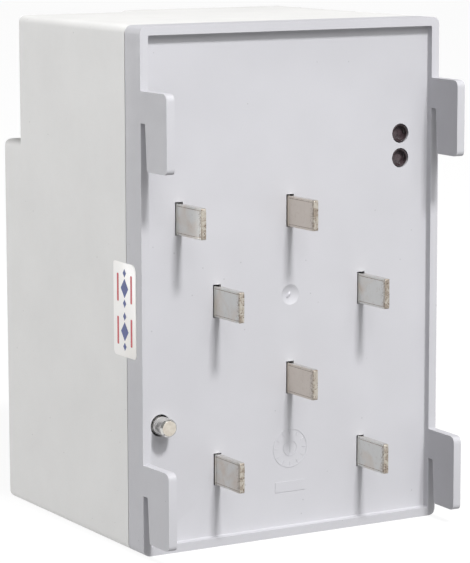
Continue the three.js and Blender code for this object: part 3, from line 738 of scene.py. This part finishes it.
def locking_pin():
    """The turned pin: chamfered tip with a flat end, clip groove, and a head with a seal hole."""
    low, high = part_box("locking_pin")
    clip_low, clip_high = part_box("pin_retaining_clip")
    centre = (low + high) / 2
    shaft, head = 2.4 * MM, (high.x - low.x) / 2
    head_back = low.y + 4.4 * MM
    groove = 1.9 * MM
    soft = 0.12 * MM
    hole_radius, hole_back = 0.8 * MM, 2.2 * MM
    profile = [
        (AXIS_RADIUS, low.y), (head - 0.62 * MM, low.y), (head - 0.5 * MM, low.y + 0.03 * MM),
        (head - 0.06 * MM, low.y + 0.45 * MM), (head, low.y + 0.6 * MM),
        (head, head_back - soft), (head - soft, head_back), (shaft + soft, head_back),
        (shaft, head_back + soft), (shaft, clip_low.y - 0.35 * MM), (groove, clip_low.y - 0.3 * MM),
        (groove, clip_high.y + 0.3 * MM), (shaft, clip_high.y + 0.35 * MM),
        (shaft, high.y - 0.58 * MM), (shaft - 0.03 * MM, high.y - 0.5 * MM),
        (shaft - 0.46 * MM, high.y - 0.05 * MM), (shaft - 0.52 * MM, high.y), (AXIS_RADIUS, high.y),
    ]
    piece = piece_from(
        "locking_pin_turned", *lathe(profile, centre.x, centre.z, 96), pin_metal, "pin_nickel",
        body="locking_pin", stands_for=["locking_pin"],
    )
    hole = bpy.data.meshes.new("seal_hole_cutter")
    points, faces = lathe([(hole_radius, -2 * head), (hole_radius, 2 * head)], 0, 0, 32)
    turn = Matrix.Rotation(math.radians(90), 3, "X")
    seat = Vector((centre.x, low.y + hole_back, centre.z))
    hole.from_pydata([tuple(turn @ Vector(p) + seat) for p in points], [], faces)
    cut_with(piece, hole)
    piece.data.materials.append(tip_face)
    end_depth = 0.04 * MM
    for face in piece.data.polygons:
        if face.center.y > high.y - end_depth:
            face.material_index = 1


def cut_with(piece, cutter_mesh):
    """Cuts a closed mesh out of a piece, and leaves only the result."""
    shell = bmesh.new()
    shell.from_mesh(cutter_mesh)
    bmesh.ops.recalc_face_normals(shell, faces=shell.faces)
    shell.to_mesh(cutter_mesh)
    shell.free()
    cutter = bpy.data.objects.new("cutter", cutter_mesh)
    bpy.context.scene.collection.objects.link(cutter)
    modifier = piece.modifiers.new("cut", "BOOLEAN")
    modifier.operation = "DIFFERENCE"
    modifier.solver = "EXACT"
    modifier.object = cutter
    graph = bpy.context.evaluated_depsgraph_get()
    made = bpy.data.meshes.new_from_object(piece.evaluated_get(graph))
    piece.modifiers.remove(modifier)
    piece.data = made
    made.polygons.foreach_set("use_smooth", [True] * len(made.polygons))
    made.set_sharp_from_angle(angle=SHARP_ANGLE)
    bpy.data.objects.remove(cutter)


tip_face = matt_tip()
locking_pin()

# ---- Infrared windows and optical port ----------------------------------------------------------


def rear_window(level):
    """A rear infrared window: a cup behind the wall, whose polished face lies deep inside its rim."""
    node = f"rear_ir_lens_{level}"
    low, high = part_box(node)
    centre = (low + high) / 2
    collar, radius, inner = (high.x - low.x) / 2, 2.3 * MM, 2.05 * MM
    soft = 0.06 * MM
    deep, dome = high.y - 1.2 * MM, 0.2 * MM
    shoulder = low.y + 0.9 * MM
    profile = [
        (AXIS_RADIUS, low.y), (collar, low.y), (collar, shoulder), (radius, shoulder),
        (radius, high.y - soft), (radius - soft, high.y), (inner + soft, high.y), (inner, high.y - soft),
        (inner, deep + 0.15 * MM),
    ]
    for i in range(9):
        share = 1 - i / 8
        r = max((inner - 0.12 * MM) * share, AXIS_RADIUS)
        profile.append((r, deep + dome * (1 - share ** 2)))
    turned = lathe(profile, centre.x, centre.z, 64)
    piece_from(node + "_polished", *turned, window_ir, "ir_window", stands_for=[node])


def front_window():
    """The front infrared window: a collar behind the wall and a slightly domed, polished face."""
    low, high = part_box("front_ir_lens")
    centre = (low + high) / 2
    collar, radius, dome = (high.x - low.x) / 2, 6 * MM, 0.25 * MM
    shoulder = high.y - 0.8 * MM
    profile = [(AXIS_RADIUS, high.y), (collar, high.y), (collar, shoulder), (radius, shoulder)]
    for i in range(11):
        angle = math.radians(90 * i / 10)
        r = max(radius * math.cos(angle), AXIS_RADIUS)
        profile.append((r, low.y + dome * (1 - math.sin(angle))))
    turned = lathe(profile, centre.x, centre.z, 64)
    piece_from("front_ir_lens_polished", *turned, window_ir, "ir_window", stands_for=["front_ir_lens"])


rear_window("lower")
rear_window("upper")
front_window()


def port_ring():
    """The steel ring that holds a magnetic reading head, with broken edges."""
    low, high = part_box("optical_port_ring")
    centre = (low + high) / 2
    outer, inner, soft = (high.x - low.x) / 2, 7.8 * MM, 0.15 * MM
    profile = [
        (inner, high.y), (inner, low.y + soft), (inner + soft, low.y), (outer - soft, low.y),
        (outer, low.y + soft), (outer, high.y), (inner, high.y),
    ]
    piece_from(
        "optical_port_ring_turned", *lathe(profile, centre.x, centre.z, 128), ring_metal, "steel",
        stands_for=["optical_port_ring"],
    )


ring_metal = turned_metal("port_ring_steel", (0.58, 0.585, 0.59), 0.4, "optical_port_ring", 0.5 * MM)
port_ring()


# ---- Display button and its spring --------------------------------------------------------------


def button():
    """The blue display button, with a dished top for the finger."""
    low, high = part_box("display_button")
    centre = (low + high) / 2
    cap, flange, stem = 3.5 * MM, (high.x - low.x) / 2, 1.6 * MM
    dish, round_wide, round_deep, flange_soft, stem_soft = 0.4 * MM, 0.7 * MM, 0.5 * MM, 0.1 * MM, 0.15 * MM
    rim = low.y
    flange_front = FRONT_PLANE + 2.5 * MM
    flange_back = flange_front + 1.2 * MM
    profile = []
    for i in range(9):
        r = max((cap - round_wide) * i / 8, AXIS_RADIUS)
        profile.append((r, rim + dish * (1 - (i / 8) ** 2)))
    for i in range(1, 6):
        angle = math.radians(90 * i / 5)
        r = cap - round_wide + round_wide * math.sin(angle)
        profile.append((r, rim + round_deep * (1 - math.cos(angle))))
    profile += [
        (cap, flange_front), (flange - flange_soft, flange_front), (flange, flange_front + flange_soft),
        (flange, flange_back), (stem, flange_back), (stem, high.y - stem_soft), (stem - stem_soft, high.y),
        (AXIS_RADIUS, high.y),
    ]
    piece_from(
        "display_button_cap", *lathe(profile, centre.x, centre.z, 64), LOOKS["button_blue"], "button_blue",
        body="display_button", stands_for=["display_button"],
    )


button()


def return_spring():
    """The button's return spring, with closed end coils."""
    low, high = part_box("button_spring")
    centre = (low + high) / 2
    wire, turns, travel = 0.28 * MM, 5, 1.0 * MM
    coil = (high.x - low.x) / 2 - wire
    start, length = low.y + wire, high.y - low.y - 2 * wire
    closed = 2.1 * wire
    steps, sides = 40 * turns, 12
    vertices, faces = [], []
    for i in range(steps + 1):
        turn = turns * i / steps
        open_share = min(max((turn - 1) / (turns - 2), 0), 1)
        closed_turns = min(turn, 1) + max(turn - turns + 1, 0)
        y = start + closed * closed_turns + (length - 2 * closed) * open_share
        angle = 2 * math.pi * turn
        outward = Vector((math.cos(angle), 0, math.sin(angle)))
        middle_of_wire = Vector((centre.x, y, centre.z)) + outward * coil
        for k in range(sides):
            around = 2 * math.pi * k / sides
            sideways = Vector((0, wire * math.sin(around), 0))
            vertices.append(middle_of_wire + outward * wire * math.cos(around) + sideways)
    for ring in range(steps):
        near, far = ring * sides, (ring + 1) * sides
        for k in range(sides):
            j = (k + 1) % sides
            faces.append((near + k, near + j, far + j, far + k))
    faces.append(tuple(range(sides)))
    faces.append(tuple(range(steps * sides, (steps + 1) * sides)))
    piece = piece_from("return_spring_coil", vertices, faces, steel, "steel", stands_for=["button_spring"])
    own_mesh(piece)


return_spring()

# ---- Seal label ---------------------------------------------------------------------------------


def seal_label():
    """A white film label over the seam, printed with blue diamonds and red bars."""
    low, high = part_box("tamper_seal_label")
    top = low.x + 0.14 * MM
    corners, soft = (1.1 * MM, 2.2 * MM, 0.7 * MM, 1.3 * MM), 0.04 * MM
    sheet = panel(low.y, low.z, high.y, high.z, low.x, top, along_x, corners, soft)
    piece_from("seal_film", *sheet, film, "label", stands_for=["tamper_seal_label"])
    print_low, print_high = top - 0.01 * MM, top + 0.015 * MM
    middle_y = (low.y + high.y) / 2
    large, small, apart, narrowing = 2.5 * MM, 1.1 * MM, 3.9 * MM, 0.8
    bar_offset, bar_half, bar_reach, bar_corner = 3.6 * MM, 0.45 * MM, 3.6 * MM, 0.3 * MM
    diamonds, bars = [], []
    for share in (0.27, 0.73):
        z = low.z + share * (high.z - low.z)
        for shift, size in ((0.0, large), (apart, small), (-apart, small)):
            turned = [(size, 0), (0, size), (-size, 0), (0, -size)]
            outline = [(middle_y + a * narrowing, z + shift + b) for a, b in turned]
            diamonds.append(stack(lambda inset: outline, [(0, print_low), (0, print_high)], along_x))
        for side in (-1, 1):
            a = middle_y + side * bar_offset
            bars.append(panel(
                a - bar_half, z - bar_reach, a + bar_half, z + bar_reach,
                print_low, print_high, along_x, bar_corner,
            ))
    piece_from("seal_print_blue", *merged(*diamonds), ink_blue, "label")
    piece_from("seal_print_red", *merged(*bars), ink_red, "label")


seal_label()

# ---- Nameplate and display ----------------------------------------------------------------------


def nameplate():
    """A satin plate with plain printed rules, fields and rows of short bars, and no lettering."""
    low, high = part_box("nameplate")
    face, corner, soft = low.y + 0.05 * MM, 0.8 * MM, 0.08 * MM
    plate = panel(low.x, low.z, high.x, high.z, high.y, face, along_y, corner, soft)
    piece_from("nameplate_film", *plate, plate_film, "label", stands_for=["nameplate"])
    print_near, print_far = face + 0.01 * MM, face - 0.015 * MM
    margin, rule, bar_high, gap = 3 * MM, 0.3 * MM, 0.7 * MM, 1.1 * MM
    width = high.x - low.x
    forms = []

    def level(share):
        return low.z + share * (high.z - low.z)

    def printed(x0, z0, x1, z1, radius=0.1 * MM):
        forms.append(panel(x0, z0, x1, z1, print_near, print_far, along_y, radius))

    for share in (0.10, 0.34, 0.58, 0.80):
        z = level(share)
        printed(low.x + margin, z, high.x - margin, z + rule)
    for field in range(3):
        x = low.x + margin + field * (width - 2 * margin) / 3
        printed(x, level(0.62), x + rule, level(0.76))
    for row, share in enumerate((0.15, 0.22, 0.28, 0.39, 0.46, 0.52)):
        x, z = low.x + margin, level(share)
        for word in range(3 + row % 3):
            length = (2.4 + 1.1 * ((2 * row + 3 * word) % 4)) * MM
            printed(x, z, x + length, z + bar_high, 0.15 * MM)
            x += length + gap
    piece_from("nameplate_rules", *merged(*forms), ink_grey, "label")


def seven_segments(x, z, high):
    """The seven bars of one switched-off digit, set apart to the right as they rise."""
    wide, thick, lean = 0.52 * high, 0.11 * high, 0.08
    bars = []
    for level in (0, 0.5, 1):
        bars.append((-wide / 2 + thick, level * high - thick / 2, wide / 2 - thick, level * high + thick / 2))
    for side in (-0.5, 0.5):
        for level in (0, 0.5):
            start = level * high + thick * 0.7
            centre = side * (wide - thick * 0.3)
            bars.append((centre - thick / 2, start, centre + thick / 2, start + high / 2 - 1.4 * thick))
    return [(x + a0 + lean * b0, z + b0, x + a1 + lean * b1, z + b1) for a0, b0, a1, b1 in bars]


def display():
    """Ghost digits on the switched-off glass, seen through the clear window."""
    low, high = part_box("lcd_glass")
    near, far = low.y + 0.02 * MM, low.y - 0.03 * MM
    digits, pitch, base, digit_high, segment_corner = 7, 5.3 * MM, 8 * MM, 8.5 * MM, 0.2 * MM
    forms = []
    for i in range(digits):
        x = middle("lcd_glass").x + (i - (digits - 1) / 2) * pitch
        for a0, b0, a1, b1 in seven_segments(x, low.z + base, digit_high):
            forms.append(panel(a0, b0, a1, b1, near, far, along_y, segment_corner))
    piece_from("display_segments", *merged(*forms), ink_ghost, "lcd")
    low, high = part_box("display_window")
    corner, soft = 1.2 * MM, 0.2 * MM
    pane = panel(low.x, low.z, high.x, high.z, high.y, low.y, along_y, corner, soft)
    piece_from("display_window_pane", *pane, window_clear, "clear_window", stands_for=["display_window"])


nameplate()
display()

# ---- Floor, light and camera --------------------------------------------------------------------


def studio_floor():
    """A plain pale floor that glows a little, so that it stays nearly white under a soft shadow."""
    mesh = bpy.data.meshes.new("studio_floor")
    reach, level, glow = 20.0, -0.02 * MM, 0.88
    corners = [(-reach, -reach, level), (reach, -reach, level), (reach, reach, level), (-reach, reach, level)]
    mesh.from_pydata(corners, [], [(0, 1, 2, 3)])
    floor = bpy.data.objects.new("studio_floor", mesh)
    bpy.context.scene.collection.objects.link(floor)
    look = Look("pale_floor", (0.1, 0.1, 0.1), 0.75)
    cloud = look.span(look.noise(0.4, 3), 0.3, 0.7)
    look.colour(look.blend(cloud, (0.097, 0.097, 0.098), (0.103, 0.103, 0.103)))
    look.shader.inputs["Emission Color"].default_value = (1, 1, 1, 1)
    look.shader.inputs["Emission Strength"].default_value = glow
    look.bump(look.noise(2 * MM, 2), 0.02 * MM, 0.2)
    mesh.materials.append(look.material)
    floor.visible_diffuse = False


def aim(obj, towards):
    obj.rotation_mode = "QUATERNION"
    obj.rotation_quaternion = Vector(towards).to_track_quat("-Z", "Y")


def sun(name, direction_to_light, strength, angle_degrees):
    data = bpy.data.lights.new(name, "SUN")
    data.energy = strength
    data.angle = math.radians(angle_degrees)
    lamp = bpy.data.objects.new(name, data)
    bpy.context.scene.collection.objects.link(lamp)
    aim(lamp, -Vector(direction_to_light))


def soft_box(name, place, watts, width, height):
    data = bpy.data.lights.new(name, "AREA")
    data.shape = "RECTANGLE"
    data.size, data.size_y = width, height
    data.energy = watts
    lamp = bpy.data.objects.new(name, data)
    bpy.context.scene.collection.objects.link(lamp)
    lamp.location = place
    aim(lamp, middle("front_cover") - Vector(place))


def white_surround(above, below):
    """A white backdrop for the camera, and weaker light from above and below for the object."""
    horizon = 0.12
    world = bpy.data.worlds.new("studio")
    bpy.context.scene.world = world
    world.use_nodes = True
    tree = world.node_tree
    background = tree.nodes["Background"]
    background.inputs["Color"].default_value = (1, 1, 1, 1)
    place = tree.nodes.new("ShaderNodeTexCoord")
    split = tree.nodes.new("ShaderNodeSeparateXYZ")
    tree.links.new(place.outputs["Generated"], split.inputs["Vector"])
    level = tree.nodes.new("ShaderNodeMapRange")
    level.inputs["From Min"].default_value = -horizon
    level.inputs["From Max"].default_value = horizon
    level.inputs["To Min"].default_value = below
    level.inputs["To Max"].default_value = above
    tree.links.new(split.outputs["Z"], level.inputs["Value"])
    rays = tree.nodes.new("ShaderNodeLightPath")
    strength = tree.nodes.new("ShaderNodeMapRange")
    strength.inputs["To Max"].default_value = 1.0
    tree.links.new(rays.outputs["Is Camera Ray"], strength.inputs["Value"])
    tree.links.new(level.outputs["Result"], strength.inputs["To Min"])
    tree.links.new(strength.outputs["Result"], background.inputs["Strength"])


def camera():
    azimuth, elevation, roll = math.radians(149.617), math.radians(8.621), math.radians(0.125)
    distance, lens, sensor = 0.70646, 166.725, 36
    target = Vector((-0.00121, 0.00118, 0.06337))
    level = math.cos(elevation)
    back = Vector((math.sin(azimuth) * level, -math.cos(azimuth) * level, math.sin(elevation)))
    data = bpy.data.cameras.new("camera")
    data.lens = lens
    data.sensor_width = sensor
    view = bpy.data.objects.new("camera", data)
    bpy.context.scene.collection.objects.link(view)
    view.location = target + distance * back
    view.rotation_mode = "QUATERNION"
    view.rotation_quaternion = (-back).to_track_quat("-Z", "Y") @ Quaternion((0, 0, 1), -roll)
    bpy.context.scene.camera = view


studio_floor()
soft_box("key", (-0.052, 1.157, 1.444), 32.9, 0.236, 0.236)
soft_box("rear_high", (0.0, 1.0, 0.85), 6.0, 0.9, 0.6)
sun("side_fill", (1.0, -1.0, 0.12), 2.4, 40)
white_surround(0.33, 0.38)
camera()
bpy.context.scene.view_settings.view_transform = "Standard"
